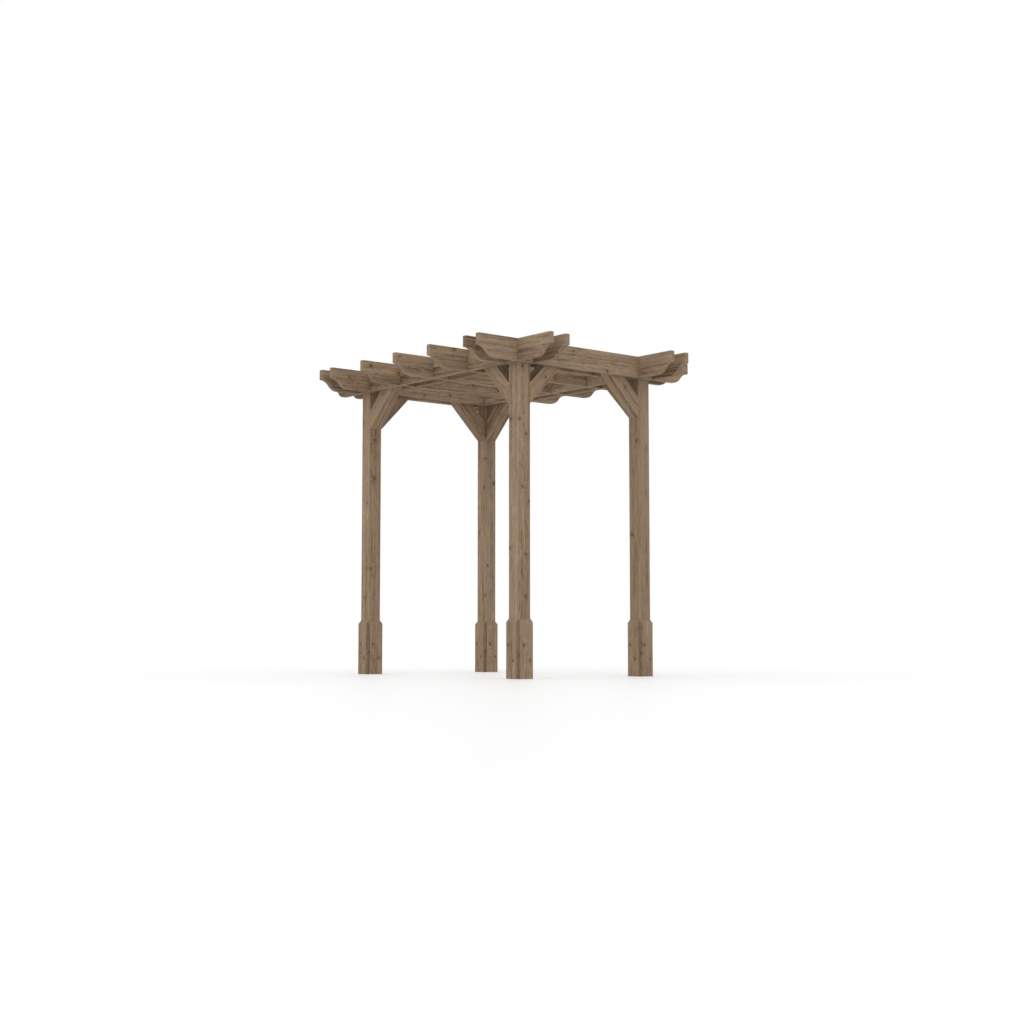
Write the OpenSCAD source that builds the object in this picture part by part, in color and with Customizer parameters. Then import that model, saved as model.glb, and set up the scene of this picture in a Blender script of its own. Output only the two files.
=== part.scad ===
// Wooden garden pergola: four square posts carry a grid of halved roof boards with ogee ends.
// The boards run in pairs past both faces of every post, and square braces stand between the pairs.
// The origin is at ground level under the centre of the roof, with +X along the rafters,
// +Y along the side beams and +Z up. All lengths are in millimetres.

/* [Roof] */
// Length of the roof along the side beams, from tip to tip
roof_length = 2400; // [2000:10:3200]
// Width of the roof along the rafters, from tip to tip
roof_width = 1800; // [1500:10:2400]
// Height of the tops of the roof boards above the ground
roof_height = 2100; // [1900:10:2600]
// Run of the board ends past the outer faces of the frame
overhang = 305; // [200:5:400]
// Number of single rafters between the front and back pairs
rafter_count = 3; // [1:1:4]

/* [Posts] */
// Side of the square posts, and so the gap between the boards of a pair
post_side = 95; // [70:1:130]
// Depth of the post tops below the tops of the boards
post_set_down = 10; // [0:1:60]

/* [Roof boards] */
// Thickness of a roof board
board_t = 33; // [22:1:50]
// Depth of a roof board
board_depth = 140; // [100:1:200]
// Clearance on either side of a board in its halving
halving_gap = 0.5; // [0.2:0.1:2]

/* [Board ends] */
// Length of the ogee under each board end
ogee_length = 140; // [90:1:180]
// Height of the ogee under each board end
ogee_height = 70; // [40:1:85]

/* [Braces] */
// Depth of a brace, square across its run
brace_depth = 92; // [60:1:110]
// Slope of a brace above the level
brace_angle = 45; // [40:1:50]
// Drop from the undersides of the boards to the lowest point of a brace
brace_drop = 253; // [190:1:360]
// Height of a brace's head between the boards of its pair
brace_seat = 70; // [20:1:90]
// Clearance between a brace's head and whatever comes next in its bay
brace_clearance = 5; // [2:1:20]

/* [Foot boards] */
// Height of a foot board at the face of its post
foot_height = 370; // [200:5:600]
// Thickness of a foot board
foot_t = 22; // [12:1:40]
// Fall of the bevel that sheds water from a foot board's top
foot_bevel = 22; // [5:1:60]
// Distance of a foot board's edges from the corners of its post
foot_reveal = 1; // [0.5:0.5:10]

/* [Hidden] */
$fn = 96;
overcut = 1;

post_x = roof_width / 2 - overhang - board_t - post_side / 2;
post_y = roof_length / 2 - overhang - board_t - post_side / 2;
pair_offset = (post_side + board_t) / 2;
underside = roof_height - board_depth;

halving_w = board_t + 2 * halving_gap;
halving_depth = board_depth / 2;

// Each ogee is two equal arcs that meet, in line, halfway along and halfway up
half_run = ogee_length / 2;
half_rise = ogee_height / 2;
ogee_r = (half_run * half_run + half_rise * half_rise) / (2 * half_rise);

rafter_pitch = 2 * (post_y - pair_offset) / (rafter_count + 1);
side_bay = rafter_pitch - brace_clearance;
cross_bay = post_x - (post_side + brace_clearance) / 2;

foot_w = post_side - 2 * foot_reveal;

post_colour = "#8b7a64";
beam_colour = "#87745e";
rafter_colour = "#7f6c57";
brace_colour = "#84715b";
foot_colour = "#8f7d66";

// Corner names, each with the signs of its X and Y
CORNERS = [
    ["front_left", -1, -1],
    ["front_right", 1, -1],
    ["back_left", -1, 1],
    ["back_right", 1, 1]
];

// Post faces, each with the turn about the post that brings +X round to it
FACES = [["right", 0], ["back", 90], ["left", 180], ["front", 270]];

// Boards along Y, each with its place in X
SIDE_BEAMS = [
    ["left_outer_beam", -post_x - pair_offset],
    ["left_inner_beam", -post_x + pair_offset],
    ["right_inner_beam", post_x - pair_offset],
    ["right_outer_beam", post_x + pair_offset]
];

// Boards along X, each with its place in Y
CROSS_BEAMS = [
    ["front_outer_beam", -post_y - pair_offset],
    ["front_inner_beam", -post_y + pair_offset],
    ["back_inner_beam", post_y - pair_offset],
    ["back_outer_beam", post_y + pair_offset]
];
RAFTERS = [
    for (i = [1 : rafter_count])
        [str("rafter_", i), -post_y + pair_offset + i * rafter_pitch]
];

side_places = [for (beam = SIDE_BEAMS) beam[1]];
cross_places = [for (board = concat(CROSS_BEAMS, RAFTERS)) board[1]];

function post_node(corner) = str(corner[0], "_post");
function foot_node(corner, face) = str(corner[0], "_foot_board_", face[0]);
function cross_brace_node(corner) = str(corner[0], "_cross_brace");
function side_brace_node(corner) = str(corner[0], "_side_brace");

// Carries a shape that is drawn about a post's own axis to the post at this corner
module at_corner(corner) {
    translate([corner[1] * post_x, corner[2] * post_y, 0])
        children();
}

// Sets an outline of distance from the post's face and height, w thick, square on one face of a post
module on_face(turn, w) {
    rotate([0, 0, turn])
        translate([post_side / 2, w / 2, 0])
            rotate([90, 0, 0])
                linear_extrude(w)
                    children();
}

// Outline of a board's end, from its tip inwards: a hollow under the tip, then a round
// that runs on level into the underside
module ogee_end() {
    difference() {
        translate([0, half_rise])
            square([half_run, board_depth - half_rise]);
        translate([0, ogee_height - ogee_r])
            circle(ogee_r);
    }
    intersection() {
        translate([half_run, -overcut])
            square([half_run, half_rise + overcut]);
        translate([ogee_length, ogee_r])
            circle(ogee_r);
    }
    translate([half_run, half_rise])
        square([half_run, board_depth - half_rise]);
}

// Outline of a whole board on edge, with its underside at zero height
module board_outline(length) {
    translate([ogee_length - length / 2, 0])
        square([length - 2 * ogee_length, board_depth]);
    for (end = [0, 1])
        mirror([end, 0])
            translate([-length / 2, 0])
                ogee_end();
}

// Slots of half the board's depth, one at each place where a board crosses
module halvings(places, base) {
    for (place = places)
        translate([place - halving_w / 2, base])
            square([halving_w, halving_depth + overcut]);
}

// Board along X, slotted from below so that it drops over the side beams
module cross_board(y) {
    translate([0, y + board_t / 2, underside])
        rotate([90, 0, 0])
            linear_extrude(board_t)
                difference() {
                    board_outline(roof_width);
                    halvings(side_places, -overcut);
                }
}

// Board along Y, slotted from above to take the cross boards
module side_board(x) {
    translate([x - board_t / 2, 0, underside])
        rotate([90, 0, 90])
            linear_extrude(board_t)
                difference() {
                    board_outline(roof_length);
                    halvings(cross_places, halving_depth);
                }
}

// Outline of a brace: its foot is plumb against the post, its head is level between the paired
// boards, and it stays inside its bay
module brace_outline(bay) {
    foot_z = underside - brace_drop;
    rise = brace_drop + brace_seat;
    plumb_cut = brace_depth / cos(brace_angle);
    intersection() {
        translate([0, foot_z])
            polygon([
                [0, 0],
                [rise / tan(brace_angle), rise],
                [(rise - plumb_cut) / tan(brace_angle), rise],
                [0, plumb_cut]
            ]);
        translate([-overcut, foot_z - overcut])
            square([bay + overcut, rise + 2 * overcut]);
    }
}

// Square post on the ground, a little lower than the tops of the boards that clasp it
module post(corner) {
    color(post_colour)
        at_corner(corner)
            translate([-post_side / 2, -post_side / 2, 0])
                cube([post_side, post_side, roof_height - post_set_down]);
}

// Board that thickens one face of a post's foot, with a bevelled top
module foot_board(corner, face) {
    color(foot_colour)
        at_corner(corner)
            on_face(face[1], foot_w)
                polygon([[0, 0], [foot_t, 0], [foot_t, foot_height - foot_bevel], [0, foot_height]]);
}

// Board of a pair along the length of the roof
module side_beam(beam) {
    color(beam_colour)
        side_board(beam[1]);
}

// Board of a pair across the roof
module cross_beam(beam) {
    color(beam_colour)
        cross_board(beam[1]);
}

// Single board across the roof between the two pairs
module rafter(board) {
    color(rafter_colour)
        cross_board(board[1]);
}

// Brace in the plane of the front or back pair, leaning inwards along X
module cross_brace(corner) {
    color(brace_colour)
        at_corner(corner)
            on_face(corner[1] < 0 ? 0 : 180, post_side)
                brace_outline(cross_bay);
}

// Brace in the plane of the left or right pair, leaning inwards along Y
module side_brace(corner) {
    color(brace_colour)
        at_corner(corner)
            on_face(corner[2] < 0 ? 90 : 270, post_side)
                brace_outline(side_bay);
}

for (corner = CORNERS) {
    post(corner);
    for (face = FACES)
        foot_board(corner, face);
    cross_brace(corner);
    side_brace(corner);
}
for (beam = SIDE_BEAMS)
    side_beam(beam);
for (beam = CROSS_BEAMS)
    cross_beam(beam);
for (board = RAFTERS)
    rafter(board);
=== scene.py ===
import bmesh
import bpy
import numpy as np
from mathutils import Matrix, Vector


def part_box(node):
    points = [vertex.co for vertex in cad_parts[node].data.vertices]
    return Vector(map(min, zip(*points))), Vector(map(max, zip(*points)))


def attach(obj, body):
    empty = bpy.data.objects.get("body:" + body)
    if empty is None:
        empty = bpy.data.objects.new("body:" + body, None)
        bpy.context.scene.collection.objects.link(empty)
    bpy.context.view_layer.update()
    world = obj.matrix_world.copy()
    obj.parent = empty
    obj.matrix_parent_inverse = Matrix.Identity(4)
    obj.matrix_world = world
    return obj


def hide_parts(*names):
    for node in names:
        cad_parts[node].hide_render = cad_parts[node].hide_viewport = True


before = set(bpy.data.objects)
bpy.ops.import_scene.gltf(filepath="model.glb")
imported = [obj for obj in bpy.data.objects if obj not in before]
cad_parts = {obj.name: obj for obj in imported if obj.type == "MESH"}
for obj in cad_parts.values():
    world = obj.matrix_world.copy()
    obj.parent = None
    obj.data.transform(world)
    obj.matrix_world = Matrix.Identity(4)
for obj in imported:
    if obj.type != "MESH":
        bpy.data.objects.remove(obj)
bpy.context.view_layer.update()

# Posts
# Four square softwood posts, planed, stained brown and left to weather. They stand straight on the ground,
# their arrises are taken off, and their tops stop just below the tops of the roof boards.

CORNERS = ("front_left", "front_right", "back_left", "back_right")

POST_ARRIS = 0.003
WEAR_HIGHLIGHT_REACH = 0.006
CORNER_STEPS = 4
ARRIS_STEPS = 4
MERGE_DISTANCE = 1e-6
SHARP_EDGE = np.radians(38)
UP = np.array([0.0, 0.0, 1.0])
PLUMB = np.radians(90)
ACROSS, THROUGH = 1, 2

# Waves to the metre along, across and through the timber
WANDER_WAVES = (1.1, 6.0, 6.0)
STREAK_WAVES = (1.2, 46.0, 46.0)
BAND_WAVES = (0.7, 15.0, 15.0)
FIBRE_WAVES = (16.0, 620.0, 620.0)
DASH_WAVES = (13.0, 105.0, 105.0)
FLECK_WAVES = (42.0, 100.0, 100.0)
SLIT_WAVES = (1.8, 70.0, 70.0)
CLOUD_WAVES = (1.6, 5.0, 5.0)
PATCH_WAVES = (2.2, 40.0, 40.0)
BLOTCH_WAVES = (14.0, 32.0, 32.0)
# Waves to the ring, and then how much detail the noise has, how strong that is, and the noise's mean
SEASON_WAVES = 0.45
SMOOTH, SOFT, ROUGH = 1.0, 2.0, 4.0
NOISE_ROUGHNESS = 0.55
NOISE_MEAN = 0.5
# How far apart one log and the next, or the two laths of a board, lie in the noise
LOG_SPACING = np.array([3.7, 1.3, 2.1])
LATH_SPACING = (1.9, -0.07, 0.0)

GRAIN_WANDER = 0.022
RING_WIDTH = 0.0062
SEASON_SWING = 2.0
TRUNK_TAPER = 0.011
KNOT_WIDTH = 0.0085
KNOT_STRETCH = np.array([1.15, 1.0, 1.0])
KNOT_SWELL = -0.11
KNOT_RINGS = 2.2

# How far each layer of the figure darkens the wood, and the depth of colour it has in the middle
LATE_DEPTH = 0.26
STREAK_DEPTH = 1.05
BAND_DEPTH = 0.60
FIBRE_DEPTH = 0.40
DASH_DEPTH = 0.80
FLECK_DEPTH = 0.55
KNOT_DEPTH = 0.12
MIDDLE_DEPTH = 0.43

# From where to where each layer comes in, and then from what share to what share, where it isn't 0 to 1
LATE_RISE, LATE_FALL = (0.25, 0.9), (1.0, 0.93)
PALE_TO_MEAN = (-0.15, 0.45)
MEAN_TO_DEEP = (0.35, 0.85)
DEEP_TO_DARK = (0.75, 1.2)
GREY_RANGE = (0.45, 0.75, 0.0, 0.35)
RED_RANGE = (0.5, 0.72, 0.0, 0.3)
BLOTCH_RANGE = (0.5, 0.68)
BLOTCH_FADE = (0.85, 0.25)
CORE_RANGE = (0.034, 0.016)
SLIT_RANGE, SLIT_CLOUD = (0.012, 0.004), (0.5, 0.62)
SLIT_SHARE = 0.6
RIM_RANGE = (2.2, 0.9, 0.0, 0.55)
HEART_RANGE = (1.15, 0.55, 0.0, 0.85)
RUB_AND_GLINT_RANGE = (0.35, 0.65, 0.05, 0.45)
GLOSS_RANGE = (0.3, 0.7, 0.74, 0.92)
LATE_RELIEF, FIBRE_RELIEF, STREAK_RELIEF, SLIT_RELIEF, KNOT_RELIEF = 0.35, 0.5, 0.6, -1.2, 0.4
RELIEF_STRENGTH = 0.45
RELIEF_HEIGHT = 0.0009
SHINE = 0.2

PALE_GRAIN = "#af987d"
MEAN_GRAIN = "#907b66"
DEEP_GRAIN = "#77624c"
DARK_GRAIN = "#594534"
GREY_FILM = "#8c7f6f"
RED_FILM = "#966f53"
ROSE_BLOTCH = "#9b785e"
OLIVE_BLOTCH = "#948157"
GREY_BLOTCH = "#8b7e72"
CORE_STAIN = "#7c6049"
KNOT_RIM = "#7f6547"
KNOT_HEART = "#584128"
CHECK_SHADE = "#483829"
# The arrises are paler: partly wear, and partly a painted highlight where they catch the light
WORN_LIT_ARRIS = "#a08b72"


def eased_outline(corners, eased, planed, arris):
    """Follows an outline with two loops in step, its edge and a line inside it.

    At an eased corner the edge swings round an arc, corner + arris * (mitre - normal), while the inward
    normal turns evenly from one side's to the next. The arc, and the points on either side where its wear
    and painted highlight end, share one inner point, corner + reach * mitre. Any other corner keeps a
    single point.
    """
    ahead = np.roll(corners, -1, axis=0) - corners
    ahead = ahead / np.linalg.norm(ahead, axis=1, keepdims=True)
    behind = np.roll(ahead, 1, axis=0)
    heading = np.arctan2(behind[:, 1], behind[:, 0])
    swerve = behind[:, 0] * ahead[:, 1] - behind[:, 1] * ahead[:, 0]
    turn = np.arctan2(swerve, (behind * ahead).sum(axis=1))
    angle = heading[:, None] + turn[:, None] * np.linspace(0, 1, CORNER_STEPS)
    normal = np.stack([-np.sin(angle), np.cos(angle)], axis=-1)
    first, last = normal[:, 0], normal[:, -1]
    mitre = (first + last) / (1 + (first * last).sum(axis=1, keepdims=True))
    arc = corners[:, None] + arris * (mitre[:, None] - normal)
    run = WEAR_HIGHLIGHT_REACH * np.tan(turn / 2)[:, None]
    before = (corners - run * behind)[:, None]
    after = (corners + run * ahead)[:, None]
    swing = np.concatenate([before, arc, after], axis=1)
    edge = np.where(eased[:, None, None], swing, corners[:, None])
    inner = np.broadcast_to((corners + WEAR_HIGHLIGHT_REACH * mitre)[:, None], edge.shape)
    step = np.arange(edge.shape[1])
    kept = eased[:, None] | (step == 0)
    worn_highlight = eased[:, None] & (step > 0) & (step < step[-1])
    planed = np.broadcast_to(planed[:, None], kept.shape)
    plain = np.broadcast_to(1.0 - eased[:, None], kept.shape)
    return edge[kept], inner[kept], worn_highlight[kept].astype(float), planed[kept], plain[kept]


def timber_surface(corners, eased, planed, half, arris):
    """Carries a rounded rim round an outline: a grid of place along the outline by place over its edge.

    The rim starts on one face, a little inside the outline, turns a quarter circle over the arris with
    inset = arris * (1 - sin a) and side = half - arris * (1 - cos a), crosses the edge, and comes back over
    the other arris. The two faces inside the rim close it. planed scales the arris from place to place.
    With the points go their wear and painted highlight, and their turn from 0 on the faces to 1 on the
    edge.
    At an eased corner the turn stays 0.
    """
    edge, inner, worn_highlight, planed, plain = eased_outline(corners, eased, planed, arris)
    worn_highlight, planed, plain = worn_highlight[:, None], planed[:, None], plain[:, None]
    quarter = np.linspace(0, np.pi / 2, ARRIS_STEPS)
    level = np.ones_like(planed)
    inset = np.hstack([level * WEAR_HIGHLIGHT_REACH, arris * planed * (1 - np.sin(quarter)), 0 * level])
    rounded = half - arris * planed * (1 - np.cos(quarter))
    side = np.hstack([level * half, rounded, level * (half - WEAR_HIGHLIGHT_REACH)])
    # The wear mask along the arris also carries a painted highlight
    wear_highlight = np.hstack([0 * level, np.maximum(worn_highlight, planed) * np.ones_like(quarter), worn_highlight])
    turned = np.hstack([0 * level, plain * quarter / quarter[-1], plain])
    inset = np.hstack([inset, inset[:, ::-1]])
    side = np.hstack([side, -side[:, ::-1]])
    wear_highlight = np.hstack([wear_highlight, wear_highlight[:, ::-1]])
    turned = np.hstack([turned, turned[:, ::-1]])
    flat = edge[:, None] + (inner - edge)[:, None] * (inset / WEAR_HIGHLIGHT_REACH)[..., None]
    grid = np.arange(inset.size).reshape(inset.shape)
    onward = np.roll(grid, -1, axis=0)
    rim = np.stack([grid[:, :-1], onward[:, :-1], onward[:, 1:], grid[:, 1:]], axis=-1)
    faces = rim.reshape(-1, 4).tolist() + [grid[::-1, 0].tolist(), grid[:, -1].tolist()]
    points = np.concatenate([flat, side[..., None]], axis=-1).reshape(-1, 3)
    return points, faces, wear_highlight.reshape(-1), turned.reshape(-1)


def set_timber(node, surface, foot, forward, lean, material):
    """Stands a timber in its place: foot + run * forward + rise * up + side * (forward x up).

    The grain attribute holds each point's place along, across and through the timber, in metres, where
    along = run * cos(lean) + rise * sin(lean) and across = rise * cos(lean) - run * sin(lean).
    """
    points, faces, wear_highlight, turned = surface
    run, rise, side = points.T[:, :, None]
    forward = np.asarray(forward, float)
    place = np.asarray(foot) + run * forward + rise * UP + side * np.cross(forward, UP)
    along = run * np.cos(lean) + rise * np.sin(lean)
    across = rise * np.cos(lean) - run * np.sin(lean)
    mesh = bpy.data.meshes.new(node + "_timber")
    mesh.from_pydata(place.tolist(), [], faces)
    grain = mesh.attributes.new("grain", "FLOAT_VECTOR", "POINT")
    grain.data.foreach_set("vector", np.hstack([along, across, side]).ravel())
    mesh.attributes.new("wear_highlight", "FLOAT", "POINT").data.foreach_set("value", wear_highlight)
    mesh.attributes.new("turned", "FLOAT", "POINT").data.foreach_set("value", turned)
    joiner = bmesh.new()
    joiner.from_mesh(mesh)
    bmesh.ops.remove_doubles(joiner, verts=joiner.verts, dist=MERGE_DISTANCE)
    bmesh.ops.recalc_face_normals(joiner, faces=joiner.faces)
    joiner.to_mesh(mesh)
    joiner.free()
    mesh.shade_smooth()
    mesh.set_sharp_from_angle(angle=SHARP_EDGE)
    mesh.materials.append(material)
    piece = bpy.data.objects.new(node + "_timber", mesh)
    bpy.context.scene.collection.objects.link(piece)
    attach(piece, "root")
    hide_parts(node)


def linear(colour):
    """Turns a written colour into light: ((c + 0.055) / 1.055) ^ 2.4 above 0.04, and c / 12.92 below."""
    code = np.array([int(colour[i:i + 2], 16) for i in (1, 3, 5)]) / 255
    light = np.where(code > 0.04045, ((code + 0.055) / 1.055) ** 2.4, code / 12.92)
    return (*light, 1.0)


def shade(tree, kind, sockets, output=0, **settings):
    """Adds a shader node, fills its sockets with values or other nodes' outputs, and gives its output."""
    node = tree.nodes.new(kind)
    for name, value in settings.items():
        setattr(node, name, value)
    for key, value in sockets.items():
        if isinstance(value, bpy.types.NodeSocket):
            tree.links.new(value, node.inputs[key])
        else:
            node.inputs[key].default_value = value
    return node.outputs[output] if node.outputs else None


def reckon(tree, operation, *terms):
    """Does one sum on single numbers."""
    return shade(tree, "ShaderNodeMath", dict(enumerate(terms)), operation=operation)


def steer(tree, operation, *terms, output=0):
    """Does one sum on places."""
    return shade(tree, "ShaderNodeVectorMath", dict(enumerate(terms)), output, operation=operation)


def noise(tree, place, waves, detail, output=0):
    """Soft noise of mean one half, with this many waves to the metre along, across and through."""
    sockets = {
        "Vector": steer(tree, "MULTIPLY", place, waves),
        "Scale": 1.0,
        "Detail": detail,
        "Roughness": NOISE_ROUGHNESS,
    }
    return shade(tree, "ShaderNodeTexNoise", sockets, output)


def ease(tree, value, start, end, low=0.0, high=1.0):
    """Goes smoothly from low to high while value goes from start to end."""
    sockets = {"Value": value, "From Min": start, "From Max": end, "To Min": low, "To Max": high}
    return shade(tree, "ShaderNodeMapRange", sockets, interpolation_type="SMOOTHSTEP")


# The mix node's sockets for two colours, and its output for what they give
MIX_UNDER, MIX_OVER, MIXED = 6, 7, 2


def tint(tree, share, under, over):
    """Lays one colour over another by a share from 0 to 1."""
    sockets = {0: share, MIX_UNDER: under, MIX_OVER: over}
    return shade(tree, "ShaderNodeMix", sockets, MIXED, data_type="RGBA")


def weathered_wood(name, knots, knot_length, pith, log_number,
                   figure=1.0, mottle=0.7, core=0.3, tones_and_shade=(0.0, 0.0), glue_line=None, painted_edge_shading=0.0):
    """Stained softwood, solid all through, read from the grain attribute.

    Rings: (distance from the pith + taper * along) / ring width, raised in a bell round every knot. Each
    ring darkens slowly to its edge, and the core round the pith is browner. Streaks, bands, fibres, dashes
    and flecks are noise drawn out along the grain, and figure scales them. Pale wood is blotched with rose,
    olive and grey by mottle. A knot is a spindle: the length of (place - centre) / (width, width, length).
    Above a glue line the wood is another lath with a tone of its own. The edge shading paints shade on the
    turned edge, which deepens it, or paints light on it where it is below 0, which pales it. The wear
    attribute pales the arrises, partly as wear and partly as a painted highlight.
    """
    material = bpy.data.materials.new(name)
    material.use_nodes = True
    tree = material.node_tree
    tree.nodes.clear()
    grain = shade(tree, "ShaderNodeAttribute", {}, "Vector", attribute_name="grain")
    wear_highlight = shade(tree, "ShaderNodeAttribute", {}, "Fac", attribute_name="wear_highlight")
    turned = shade(tree, "ShaderNodeAttribute", {}, "Fac", attribute_name="turned")
    lath = grain
    shares = (LATE_DEPTH, STREAK_DEPTH, BAND_DEPTH, FIBRE_DEPTH, DASH_DEPTH, FLECK_DEPTH)
    # The first tone darkens the whole timber. On the foot boards the edge shading pales the faces back, so
    # it leaves painted shade on the sawn edges
    depth = MIDDLE_DEPTH + tones_and_shade[0] - figure * sum(shares) * NOISE_MEAN
    if glue_line is not None:
        height = shade(tree, "ShaderNodeSeparateXYZ", {0: grain}, ACROSS)
        upper = reckon(tree, "GREATER_THAN", height, glue_line)
        aside = shade(tree, "ShaderNodeVectorMath", {0: LATH_SPACING, "Scale": upper}, operation="SCALE")
        lath = steer(tree, "ADD", grain, aside)
        depth = reckon(tree, "MULTIPLY_ADD", upper, tones_and_shade[1] - tones_and_shade[0], depth)
    log = steer(tree, "ADD", lath, tuple(LOG_SPACING * log_number))

    wander = noise(tree, log, WANDER_WAVES, SOFT, output="Color")
    swing = (0.0, GRAIN_WANDER, GRAIN_WANDER)
    middle = (0.0, -GRAIN_WANDER * NOISE_MEAN, -GRAIN_WANDER * NOISE_MEAN)
    wander = steer(tree, "MULTIPLY_ADD", wander, swing, middle)
    bent = steer(tree, "ADD", log, wander)
    trunk = steer(tree, "ADD", grain, wander)

    knot = None
    for centre, spindle, size in knots:
        width = KNOT_WIDTH * KNOT_STRETCH * size
        width[spindle] = knot_length
        offset = steer(tree, "MULTIPLY_ADD", trunk, tuple(1 / width), tuple(-np.array(centre) / width))
        reach = steer(tree, "LENGTH", offset, output="Value")
        knot = reach if knot is None else reckon(tree, "MINIMUM", knot, reach)
    swell = reckon(tree, "MULTIPLY", reckon(tree, "MULTIPLY", knot, knot), KNOT_SWELL)
    bell = reckon(tree, "EXPONENT", swell)

    stem = steer(tree, "ADD", lath, wander)
    spoke = steer(tree, "MULTIPLY_ADD", stem, (0.0, 1.0, 1.0), (0.0, -pith[0], -pith[1]))
    radius = steer(tree, "LENGTH", spoke, output="Value")
    along = shade(tree, "ShaderNodeSeparateXYZ", {0: stem})
    girth = reckon(tree, "MULTIPLY_ADD", along, TRUNK_TAPER, radius)
    rings = reckon(tree, "MULTIPLY_ADD", bell, KNOT_RINGS, reckon(tree, "DIVIDE", girth, RING_WIDTH))
    season = shade(tree, "ShaderNodeTexNoise", {"W": rings, "Scale": SEASON_WAVES}, noise_dimensions="1D")
    rings = reckon(tree, "MULTIPLY_ADD", season, SEASON_SWING, rings)
    year = reckon(tree, "FRACT", rings)
    late = reckon(tree, "MULTIPLY", ease(tree, year, *LATE_RISE), ease(tree, year, *LATE_FALL))

    streak = noise(tree, bent, STREAK_WAVES, ROUGH)
    band = noise(tree, bent, BAND_WAVES, SOFT)
    fibre = noise(tree, bent, FIBRE_WAVES, SOFT)
    dash = noise(tree, bent, DASH_WAVES, SOFT)
    fleck = noise(tree, bent, FLECK_WAVES, SOFT)
    cloud = noise(tree, log, CLOUD_WAVES, SOFT)
    patch = noise(tree, bent, PATCH_WAVES, SOFT)
    blotch = noise(tree, bent, BLOTCH_WAVES, SOFT, output="Color")

    for layer, share in zip((late, streak, band, fibre, dash, fleck), shares):
        depth = reckon(tree, "MULTIPLY_ADD", layer, share * figure, depth)
    depth = reckon(tree, "MULTIPLY_ADD", bell, KNOT_DEPTH, depth)
    # Painted shading on the turned edges: painted light on the tops and undersides of the boards, painted
    # shade on the upper sides and undersides of the braces
    depth = reckon(tree, "MULTIPLY_ADD", turned, painted_edge_shading, depth)
    colour = tint(tree, ease(tree, depth, *PALE_TO_MEAN), linear(PALE_GRAIN), linear(MEAN_GRAIN))
    colour = tint(tree, ease(tree, depth, *MEAN_TO_DEEP), colour, linear(DEEP_GRAIN))
    colour = tint(tree, ease(tree, depth, *DEEP_TO_DARK), colour, linear(DARK_GRAIN))
    colour = tint(tree, ease(tree, cloud, *GREY_RANGE), colour, linear(GREY_FILM))
    colour = tint(tree, ease(tree, patch, *RED_RANGE), colour, linear(RED_FILM))
    colour = tint(tree, ease(tree, radius, *CORE_RANGE, 0.0, core), colour, linear(CORE_STAIN))
    faded = ease(tree, depth, *BLOTCH_FADE, 0.0, mottle)
    for part, blotch_colour in enumerate((ROSE_BLOTCH, OLIVE_BLOTCH, GREY_BLOTCH)):
        amount = shade(tree, "ShaderNodeSeparateXYZ", {0: blotch}, part)
        amount = reckon(tree, "MULTIPLY", ease(tree, amount, *BLOTCH_RANGE), faded)
        colour = tint(tree, amount, colour, linear(blotch_colour))

    slit = noise(tree, bent, SLIT_WAVES, SMOOTH)
    slit = reckon(tree, "ABSOLUTE", reckon(tree, "SUBTRACT", slit, NOISE_MEAN))
    slit = reckon(tree, "MULTIPLY", ease(tree, slit, *SLIT_RANGE), ease(tree, cloud, *SLIT_CLOUD))
    colour = tint(tree, reckon(tree, "MULTIPLY", slit, SLIT_SHARE), colour, linear(CHECK_SHADE))

    colour = tint(tree, ease(tree, knot, *RIM_RANGE), colour, linear(KNOT_RIM))
    heart = ease(tree, knot, *HEART_RANGE)
    colour = tint(tree, heart, colour, linear(KNOT_HEART))

    # Paler arrises, partly wear and partly a painted highlight, broken up by the patches
    rubbed_and_lit = reckon(tree, "MULTIPLY", wear_highlight, ease(tree, patch, *RUB_AND_GLINT_RANGE))
    colour = tint(tree, rubbed_and_lit, colour, linear(WORN_LIT_ARRIS))

    relief = reckon(tree, "MULTIPLY", fibre, FIBRE_RELIEF)
    relief = reckon(tree, "MULTIPLY_ADD", late, LATE_RELIEF, relief)
    relief = reckon(tree, "MULTIPLY_ADD", streak, STREAK_RELIEF, relief)
    relief = reckon(tree, "MULTIPLY_ADD", slit, SLIT_RELIEF, relief)
    relief = reckon(tree, "MULTIPLY_ADD", heart, KNOT_RELIEF, relief)
    ridges = {"Strength": RELIEF_STRENGTH, "Distance": RELIEF_HEIGHT, "Height": relief}
    sockets = {
        "Base Color": colour,
        "Roughness": ease(tree, streak, *GLOSS_RANGE),
        "Normal": shade(tree, "ShaderNodeBump", ridges),
        "Specular IOR Level": SHINE,
    }
    surface = shade(tree, "ShaderNodeBsdfPrincipled", sockets)
    shade(tree, "ShaderNodeOutputMaterial", {"Surface": surface})
    return material


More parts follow.
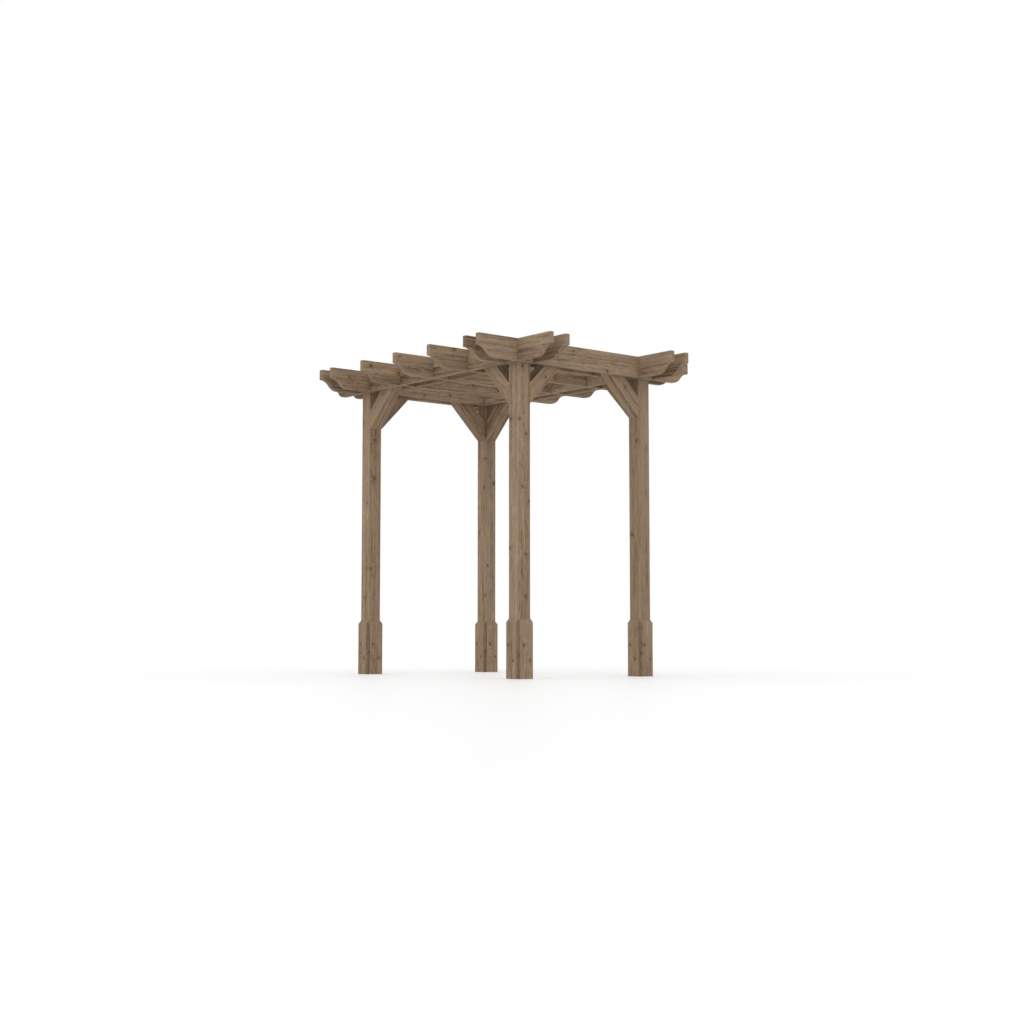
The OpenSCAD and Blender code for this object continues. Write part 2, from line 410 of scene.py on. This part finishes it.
# Each knot is on a face, at a height, at a place along the face from the centre line, and of a size
POST_KNOTS = {
    "front_left": (
        ("left", 1.610, 0.026, 1.3), ("left", 0.806, 0.038, 1.2),
        ("front", 1.936, -0.016, 1.0), ("front", 1.605, -0.039, 1.1), ("front", 1.516, 0.010, 1.0),
        ("front", 1.185, -0.018, 1.0), ("front", 1.095, 0.036, 1.1), ("front", 0.766, 0.008, 1.1),
        ("front", 0.506, 0.000, 0.8),
        ("right", 1.44, 0.020, 1.0), ("right", 0.66, -0.030, 0.8),
        ("back", 1.73, -0.020, 0.9), ("back", 0.95, 0.030, 1.1),
    ),
    "front_right": (
        ("left", 1.55, -0.026, 1.2), ("left", 0.93, 0.022, 1.3),
        ("right", 1.71, 0.010, 1.0), ("right", 1.20, -0.034, 0.8), ("right", 0.58, 0.018, 1.1),
        ("back", 1.38, -0.012, 1.0), ("back", 0.80, 0.030, 0.9),
    ),
    "back_left": (
        ("front", 1.63, -0.016, 0.9), ("front", 1.36, -0.010, 1.4), ("front", 0.73, -0.036, 1.0),
        ("left", 1.19, -0.016, 0.9), ("left", 0.53, 0.004, 0.8), ("left", 1.76, 0.030, 0.7),
        ("right", 1.49, -0.020, 1.0), ("right", 0.87, 0.026, 1.1),
        ("back", 1.57, 0.014, 0.9), ("back", 1.02, -0.030, 1.0),
    ),
    "back_right": (
        ("front", 1.57, -0.044, 1.0), ("front", 1.39, 0.032, 1.4), ("front", 0.78, -0.028, 1.0),
        ("left", 1.36, -0.028, 1.1), ("left", 0.56, -0.040, 1.0), ("left", 1.02, 0.020, 0.8),
        ("right", 1.65, 0.024, 1.0), ("right", 0.71, -0.012, 0.9),
        ("back", 1.28, 0.010, 1.1), ("back", 0.60, 0.036, 0.8),
    ),
}
POST_KNOT_LENGTH = 0.018
POST_PITH = ((0.014, -0.022), (-0.020, 0.012), (0.024, 0.016), (-0.012, -0.018))
POST_LOG = 1
# How strong the figure of each post is, and how much darker than the middle tone it is
POST_FIGURE = (1.20, 0.75, 1.20, 1.20)
POST_TONES = (-0.02, 0.07, 0.07, 0.05)

for number, corner in enumerate(CORNERS):
    low, high = map(np.array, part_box(corner + "_post"))
    half = (high[0] - low[0]) / 2
    # The grain runs up the post, so its across axis points left and its through axis points to the front
    depths = {"left": half, "right": -half, "front": half, "back": -half}
    knots = []
    for face, height, offset, size in POST_KNOTS[corner]:
        if face in ("left", "right"):
            knots.append(((height, depths[face], -offset), ACROSS, size))
        else:
            knots.append(((height, -offset, depths[face]), THROUGH, size))
    outline = np.array([[-half, 0.0], [half, 0.0], [half, high[2]], [-half, high[2]]])
    eased = np.full(len(outline), True)
    surface = timber_surface(outline, eased, np.ones(len(outline)), half, POST_ARRIS)
    log_number = POST_LOG + number
    wood = weathered_wood(corner + "_post_wood", knots, POST_KNOT_LENGTH, POST_PITH[number], log_number,
                          figure=POST_FIGURE[number], tones_and_shade=(POST_TONES[number],))
    foot = ((low + high) / 2)[:2].tolist() + [0.0]
    set_timber(corner + "_post", surface, foot, (1, 0, 0), PLUMB, wood)

# Foot boards
# Short boards of the same softwood thicken the foot of every post, one nailed to each of its faces.
# Their tops are bevelled so that water runs off, and their sawn edges are painted darker, as painted shade
# in the recesses at the corners.

FOOT_ARRIS = 0.0015
FOOT_BEVEL = 0.022
FOOT_PLANED = np.array([0.0, 1.0, 1.0, 0.0])
FOOT_FACES = {"right": (1, 0, 0), "back": (0, 1, 0), "left": (-1, 0, 0), "front": (0, -1, 0)}
# Knots by their height, their place across the face and their size, and the one in the edge by its height,
# its place in the thickness of the board and its size
FOOT_KNOTS = ((0.207, 0.025, 1.0), (0.113, -0.024, 0.9))
FOOT_EDGE_KNOT = (0.148, -0.006, 1.0)
FOOT_KNOT_LENGTH = 0.045
FOOT_PITH = (-0.075, 0.012)
FOOT_LOG = 10
FOOT_FIGURE = 1.1
# How much darker the sawn edges of each board are painted than its face: painted shade for the recess at
# each corner
FOOT_EDGE_SHADE = {"right": 0.18, "back": 0.18, "left": 0.10, "front": 0.18}

for number, corner in enumerate(CORNERS):
    for turn, (face, forward) in enumerate(FOOT_FACES.items()):
        node = f"{corner}_foot_board_{face}"
        low, high = map(np.array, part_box(node))
        thick = min((high - low)[:2])
        half = max((high - low)[:2]) / 2
        tall = high[2]
        outline = np.array([[0.0, 0.0], [thick, 0.0], [thick, tall - FOOT_BEVEL], [0.0, tall]])
        eased = np.full(len(outline), False)
        surface = timber_surface(outline, eased, FOOT_PLANED, half, FOOT_ARRIS)
        knots = [((height, -thick, offset), ACROSS, size) for height, offset, size in FOOT_KNOTS]
        height, inset, size = FOOT_EDGE_KNOT
        knots.append(((height, inset, half), THROUGH, size))
        log_number = FOOT_LOG + number * len(FOOT_FACES) + turn
        # The whole board is darkened and its faces are paled back, which leaves painted shade on the sawn
        # edges
        wood = weathered_wood(node + "_wood", knots, FOOT_KNOT_LENGTH, FOOT_PITH, log_number,
                              figure=FOOT_FIGURE, tones_and_shade=(FOOT_EDGE_SHADE[face],), painted_edge_shading=-FOOT_EDGE_SHADE[face])
        inner_face = (low + high) / 2 - np.array(forward) * thick / 2
        set_timber(node, surface, [*inner_face[:2], 0.0], forward, PLUMB, wood)

# Side beams
# Two pairs of softwood boards on edge run the length of the roof and clasp the posts between them. Each
# is glued up from a lower and an upper lath, its ends are sawn to an ogee, a hollow and then a round, and
# it is slotted from above to take the cross boards.

BOARD_ARRIS = 0.003
OGEE_RUN = 0.140
OGEE_RISE = 0.070
OGEE_STEPS = 13
SLOT_GAP = 0.0005
SLOT_RUN = np.array([-1, -1, -1, 1, 1, 1]) / 2
SLOT_PLANED = np.array([1.0, 0.0, 0.0, 0.0, 0.0, 1.0])
SIDE_BEAMS = ("left_outer_beam", "left_inner_beam", "right_inner_beam", "right_outer_beam")
CROSS_BEAMS = ("front_outer_beam", "front_inner_beam", "back_inner_beam", "back_outer_beam")
RAFTERS = ("rafter_1", "rafter_2", "rafter_3")
LEVEL = 0.0


def ogee(run, rise):
    """Two equal arcs in line: radius = (run^2 + rise^2) / (4 * rise), each turning 2 * atan(rise / run).

    The hollow is (radius * sin t, rise - radius * (1 - cos t)), and the round is the hollow turned half
    about the middle of the ogee. It goes from the tip of the board inwards.
    """
    radius = (run ** 2 + rise ** 2) / (4 * rise)
    turn = np.linspace(0, 2 * np.arctan2(rise, run), OGEE_STEPS)
    hollow = np.stack([radius * np.sin(turn), rise - radius * (1 - np.cos(turn))], axis=1)
    return np.concatenate([hollow, np.array([run, rise]) - hollow[-2::-1]])


def slots(places, width, depth):
    """Square slots up into an underside: every place plus the same six corners, from left to right.

    The mouth keeps the planed arris of the board, and the sawn wall above it is crisp.
    """
    rise = np.array([0, WEAR_HIGHLIGHT_REACH, depth, depth, WEAR_HIGHLIGHT_REACH, 0])
    across = np.sort(places)[:, None] + SLOT_RUN * width
    return np.stack([across, np.broadcast_to(rise, across.shape)], axis=-1).reshape(-1, 2)


def board_surface(length, depth, thick, below, above):
    """Goes round a board on edge from its left tip: ogee, underside, ogee and top, with its slots.

    The right ogee is the left one mirrored, and the slots in the top are slots turned half round. Only the
    four corners at the tips are eased.
    """
    left = ogee(OGEE_RUN, OGEE_RISE) - np.array([length / 2, 0])
    right = left[::-1] * np.array([-1, 1])
    cut_below = slots(np.array(below), thick + 2 * SLOT_GAP, depth / 2)
    cut_above = np.array([0, depth]) - slots(-np.array(above), thick + 2 * SLOT_GAP, depth / 2)
    top = np.array([[length / 2, depth], [-length / 2, depth]])
    outline = np.concatenate([left, cut_below, right, top[:1], cut_above, top[1:]])
    planed = np.concatenate([
        np.ones(len(left)), np.tile(SLOT_PLANED, len(below)), np.ones(len(right)),
        np.ones(1), np.tile(SLOT_PLANED, len(above)), np.ones(1),
    ])
    tip = np.isclose(np.abs(outline[:, 0]), length / 2)
    return timber_surface(outline, tip, planed, thick / 2, BOARD_ARRIS)


# Knots by their place along the board from its middle, their height above its underside and their size
SIDE_KNOTS = {
    "left_outer_beam": ((-0.62, 0.040, 0.8), (-0.11, 0.100, 0.7), (0.34, 0.055, 0.7), (0.724, 0.082, 0.9)),
    "left_inner_beam": ((-0.97, 0.060, 1.0), (-0.42, 0.105, 1.1), (0.18, 0.035, 0.9), (0.71, 0.090, 1.2)),
    "right_inner_beam": ((-0.30, 0.080, 1.2), (0.25, 0.110, 0.8), (0.88, 0.045, 1.0)),
    "right_outer_beam": ((-0.99, 0.085, 0.7), (-0.51, 0.030, 1.0), (0.07, 0.070, 1.1), (0.59, 0.105, 1.0)),
}
BOARD_KNOT_LENGTH = 0.045
SIDE_PITH = ((0.050, -0.085), (0.095, 0.090), (0.030, -0.100), (0.080, 0.080))
SIDE_LOG = 40
BOARD_FIGURE = 1.2
BOARD_MOTTLE = 0.8
# Added to the depth of colour on the tops and undersides of the boards: painted light that makes them paler
# than the faces, standing for the light the floor throws up onto them, and more of it on the outer left
# beam
BOARD_EDGE_LIGHT = -0.16
SIDE_EDGE_LIGHT = (-0.36, BOARD_EDGE_LIGHT, BOARD_EDGE_LIGHT, BOARD_EDGE_LIGHT)
# How much darker than the middle tone the lower and the upper lath of each board are
SIDE_TONES = ((0.40, -0.08), (0.36, 0.0), (0.20, 0.02), (0.30, 0.10))
cross_places = [sum(end.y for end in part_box(node)) / 2 for node in CROSS_BEAMS + RAFTERS]
side_places = [sum(end.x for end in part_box(node)) / 2 for node in SIDE_BEAMS]

for number, node in enumerate(SIDE_BEAMS):
    low, high = map(np.array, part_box(node))
    thick, length, depth = high - low
    surface = board_surface(length, depth, thick, [], cross_places)
    knots = [((along, height, 0.0), THROUGH, size) for along, height, size in SIDE_KNOTS[node]]
    log_number = SIDE_LOG + number
    wood = weathered_wood(node + "_wood", knots, BOARD_KNOT_LENGTH, SIDE_PITH[number], log_number,
                          BOARD_FIGURE, BOARD_MOTTLE, tones_and_shade=SIDE_TONES[number], glue_line=depth / 2,
                          painted_edge_shading=SIDE_EDGE_LIGHT[number])
    foot = (low + high) / 2 * np.array([1, 1, 0]) + low[2] * UP
    set_timber(node, surface, foot, (0, 1, 0), LEVEL, wood)

# Cross beams and rafters
# Two pairs of boards clasp the posts the other way, and three single boards lie between the pairs. They
# are glued up and sawn like the side beams, but slotted from below, so they drop over the side beams
# until all the boards are level.

CROSS_KNOTS = {
    "front_outer_beam": ((-0.137, 0.107, 0.9), (0.156, 0.012, 1.3), (0.62, 0.080, 0.7)),
    "front_inner_beam": (
        (-0.811, 0.066, 1.0), (-0.25, 0.040, 0.9), (0.148, 0.010, 1.2), (0.74, 0.055, 0.9),
    ),
    "back_inner_beam": (
        (-0.758, 0.082, 1.3), (-0.691, 0.006, 0.8), (-0.119, 0.020, 1.0), (0.112, 0.044, 1.2),
        (0.41, 0.085, 0.7),
    ),
    "back_outer_beam": ((-0.69, 0.060, 0.9), (-0.10, 0.095, 1.2), (0.20, 0.030, 0.8), (0.66, 0.085, 1.0)),
    "rafter_1": ((-0.705, 0.125, 1.3), (-0.28, 0.070, 0.9), (0.15, 0.030, 1.0), (0.557, 0.010, 1.1)),
    "rafter_2": ((-0.864, 0.118, 0.9), (-0.05, 0.095, 0.9), (0.385, 0.037, 1.2), (0.70, 0.075, 1.0)),
    "rafter_3": ((-0.835, 0.106, 1.6), (-0.608, 0.082, 1.1), (0.035, 0.060, 1.5), (0.258, 0.042, 1.2)),
}
CROSS_PITH = ((0.060, 0.090), (0.020, -0.085), (0.100, 0.095), (0.045, -0.090),
              (0.085, 0.080), (0.035, 0.100), (0.070, -0.080))
CROSS_TONES = ((-0.02, 0.12), (0.25, 0.48), (0.18, 0.10), (0.10, 0.26),
               (0.24, 0.06), (0.12, -0.03), (0.27, -0.06))
CROSS_LOG = 50

for number, node in enumerate(CROSS_BEAMS + RAFTERS):
    low, high = map(np.array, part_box(node))
    length, thick, depth = high - low
    surface = board_surface(length, depth, thick, side_places, [])
    knots = [((along, height, 0.0), THROUGH, size) for along, height, size in CROSS_KNOTS[node]]
    log_number = CROSS_LOG + number
    wood = weathered_wood(node + "_wood", knots, BOARD_KNOT_LENGTH, CROSS_PITH[number], log_number,
                          BOARD_FIGURE, BOARD_MOTTLE, tones_and_shade=CROSS_TONES[number], glue_line=depth / 2,
                          painted_edge_shading=BOARD_EDGE_LIGHT)
    foot = (low + high) / 2 * np.array([1, 1, 0]) + low[2] * UP
    set_timber(node, surface, foot, (1, 0, 0), LEVEL, wood)

# Braces
# Eight short lengths of post stock lean from the posts up between the boards of each pair. Each foot is
# cut plumb and nailed to the post, and each head is cut level and held between the boards.

BRACE_ARRIS = 0.003
BRACE_DEPTH = 0.092
BRACE_LEAN = np.radians(45)
CUT_STARTS = 0.25
CUT_ENDS = 0.90
CUT_PLANED = np.array([1.0, 0.0, 0.0, 1.0])
# Knots by their place along the brace and their distance from its underside, then their size
BRACE_KNOTS = {
    "front_left_cross_brace": ((0.216, 0.040, 1.2), (0.400, 0.070, 0.8)),
    "front_left_side_brace": ((0.420, 0.060, 0.8),),
    "front_right_cross_brace": ((0.216, 0.042, 1.2), (0.400, 0.020, 0.8)),
    "front_right_side_brace": ((0.245, 0.030, 1.0),),
    "back_left_cross_brace": ((0.420, 0.030, 0.9),),
    "back_left_side_brace": ((0.266, 0.055, 0.9),),
    "back_right_cross_brace": ((0.410, 0.060, 1.0),),
    "back_right_side_brace": ((0.243, 0.010, 1.0),),
}
BRACE_KNOT_LENGTH = 0.120
BRACE_LOG = 60
BRACE_FIGURE = 1.3
BRACE_MOTTLE = 0.7
BRACE_CORE = 0.15
# How much darker the upper side and the underside of a brace are painted than its faces, as painted shade,
# and how much darker than the middle tone the cross brace and the side brace at each corner are
BRACE_EDGE_SHADE = 0.08
BRACE_TONES = {
    "front_left": (0.0, -0.15), "front_right": (0.12, 0.20),
    "back_left": (0.27, -0.08), "back_right": (0.12, 0.22),
}


def brace_surface(reach, rise, thick):
    """Goes round a slanting bar from the tip of its head, along the head and down the heel.

    The level head ends at (reach, rise) and is depth / sin(lean) long. The plumb heel ends at (0, 0) and is
    depth / cos(lean) long. Along both cuts the arris dies out, and it comes back at the far end.
    """
    plumb = BRACE_DEPTH / np.cos(BRACE_LEAN)
    level = BRACE_DEPTH / np.sin(BRACE_LEAN)
    head = np.array([[reach, rise], [reach - level, rise]])
    heel = np.array([[0.0, plumb], [0.0, 0.0]])
    cut = np.array([[0.0], [CUT_STARTS], [CUT_ENDS], [1.0]])
    along_head = head[0] + cut * (head[1] - head[0])
    along_heel = heel[0] + (1 - cut[::-1]) * (heel[1] - heel[0])
    outline = np.concatenate([along_head, along_heel])
    planed = np.concatenate([CUT_PLANED, CUT_PLANED])
    eased = np.full(len(outline), False)
    return timber_surface(outline, eased, planed, thick / 2, BRACE_ARRIS)


for number, corner in enumerate(CORNERS):
    inward = {"cross": 1 if "left" in corner else -1, "side": 1 if "front" in corner else -1}
    for way, (kind, sign) in enumerate(inward.items()):
        node = f"{corner}_{kind}_brace"
        low, high = map(np.array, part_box(node))
        forward = np.array([sign, 0, 0]) if kind == "cross" else np.array([0, sign, 0])
        reach = np.abs((high - low) @ forward)
        thick = (high - low)[1 - way]
        surface = brace_surface(reach, high[2] - low[2], thick)
        knots = [((along, across, 0.0), THROUGH, size) for along, across, size in BRACE_KNOTS[node]]
        # The pith lies under the middle of the face that looks to the front or to the left
        pith = (BRACE_DEPTH / 2, sign * thick / 2 * (1 if kind == "cross" else -1))
        log_number = BRACE_LOG + number * len(inward) + way
        wood = weathered_wood(node + "_wood", knots, BRACE_KNOT_LENGTH, pith, log_number,
                              BRACE_FIGURE, BRACE_MOTTLE, BRACE_CORE, tones_and_shade=(BRACE_TONES[corner][way],),
                              painted_edge_shading=BRACE_EDGE_SHADE)
        foot = (low + high) / 2 - forward * reach / 2
        set_timber(node, surface, [*foot[:2], low[2]], forward, BRACE_LEAN, wood)

# Floor
# A wide, plain floor of smooth white paper, which takes the pergola's soft shadow and a faint, blurred
# image of it. It looks white, and throws back on the timber only a part of the light that falls on it.

FLOOR_REACH = 150.0
FLOOR_WHITE = (1.0, 1.0, 1.0, 1.0)
FLOOR_BOUNCE = (0.80, 0.80, 0.80, 1.0)
FLOOR_SHEEN = 0.3
FLOOR_BLUR = 0.5
FLOOR_LOOP = [0, 1, 3, 2]


def seen_directly(tree):
    """One for what is looked at, straight or in a gloss, and nought for light on its way to the timber."""
    path = tree.nodes.new("ShaderNodeLightPath").outputs
    mirrored = reckon(tree, "MAXIMUM", path["Is Glossy Ray"], path["Is Transmission Ray"])
    return reckon(tree, "MAXIMUM", path["Is Camera Ray"], mirrored)


floor_mesh = bpy.data.meshes.new("floor")
sides = np.array([-FLOOR_REACH, FLOOR_REACH])
floor_x, floor_y = np.meshgrid(sides, sides)
floor_points = np.stack([floor_x, floor_y, np.zeros_like(floor_x)], axis=-1).reshape(-1, 3)
floor_mesh.from_pydata(floor_points.tolist(), [], [FLOOR_LOOP])
floor_paper = bpy.data.materials.new("floor_paper")
floor_paper.use_nodes = True
floor_tree = floor_paper.node_tree
floor_tree.nodes.clear()
floor_colour = tint(floor_tree, seen_directly(floor_tree), FLOOR_BOUNCE, FLOOR_WHITE)
matt = shade(floor_tree, "ShaderNodeBsdfDiffuse", {"Color": floor_colour})
sheen = shade(floor_tree, "ShaderNodeBsdfGlossy", {"Color": FLOOR_WHITE, "Roughness": FLOOR_BLUR})
paper = shade(floor_tree, "ShaderNodeMixShader", {0: FLOOR_SHEEN, 1: matt, 2: sheen})
shade(floor_tree, "ShaderNodeOutputMaterial", {"Surface": paper})
floor_mesh.materials.append(floor_paper)
floor = bpy.data.objects.new("floor", floor_mesh)
bpy.context.scene.collection.objects.link(floor)

# Light
# Soft white light comes from all round, and a little more of it from above, from the front and from the
# left. What is looked at behind the pergola is plain white.

SKY_WHITE = (1.0, 1.0, 1.0, 1.0)
SKY_STRENGTH = 0.86
SKY_LEAN = (-0.26, -0.12, 0.25)

sky = bpy.data.worlds.new("soft_sky")
sky.use_nodes = True
sky_tree = sky.node_tree
sky_tree.nodes.clear()
heading = shade(sky_tree, "ShaderNodeTexCoord", {}, "Generated")
sky_lean = steer(sky_tree, "DOT_PRODUCT", heading, SKY_LEAN, output="Value")
sky_light = reckon(sky_tree, "ADD", sky_lean, SKY_STRENGTH)
sky_seen = seen_directly(sky_tree)
sky_unseen = reckon(sky_tree, "SUBTRACT", 1.0, sky_seen)
sky_strength = reckon(sky_tree, "MULTIPLY_ADD", sky_unseen, sky_light, sky_seen)
glow = shade(sky_tree, "ShaderNodeBackground", {"Color": SKY_WHITE, "Strength": sky_strength})
shade(sky_tree, "ShaderNodeOutputWorld", {"Surface": glow})
bpy.context.scene.world = sky

# Camera
# It stands low, a good way off the corner where the left front post is, and looks slightly up at the roof,
# as the photograph was taken. Unturned it would look straight down, so it is first raised to the level.

CAMERA_PLACE = (-6.759, -8.372, 0.261)
CAMERA_RISE = np.radians(4.481)
CAMERA_TURN = np.radians(-39.294)
CAMERA_LENS = 55.74
SENSOR_WIDTH = 36.0

camera_data = bpy.data.cameras.new("camera")
camera_data.lens = CAMERA_LENS
camera_data.sensor_width = SENSOR_WIDTH
camera = bpy.data.objects.new("camera", camera_data)
camera.location = CAMERA_PLACE
camera.rotation_euler = (PLUMB + CAMERA_RISE, 0, CAMERA_TURN)
bpy.context.scene.collection.objects.link(camera)
bpy.context.scene.camera = camera
bpy.context.scene.view_settings.view_transform = "Standard"
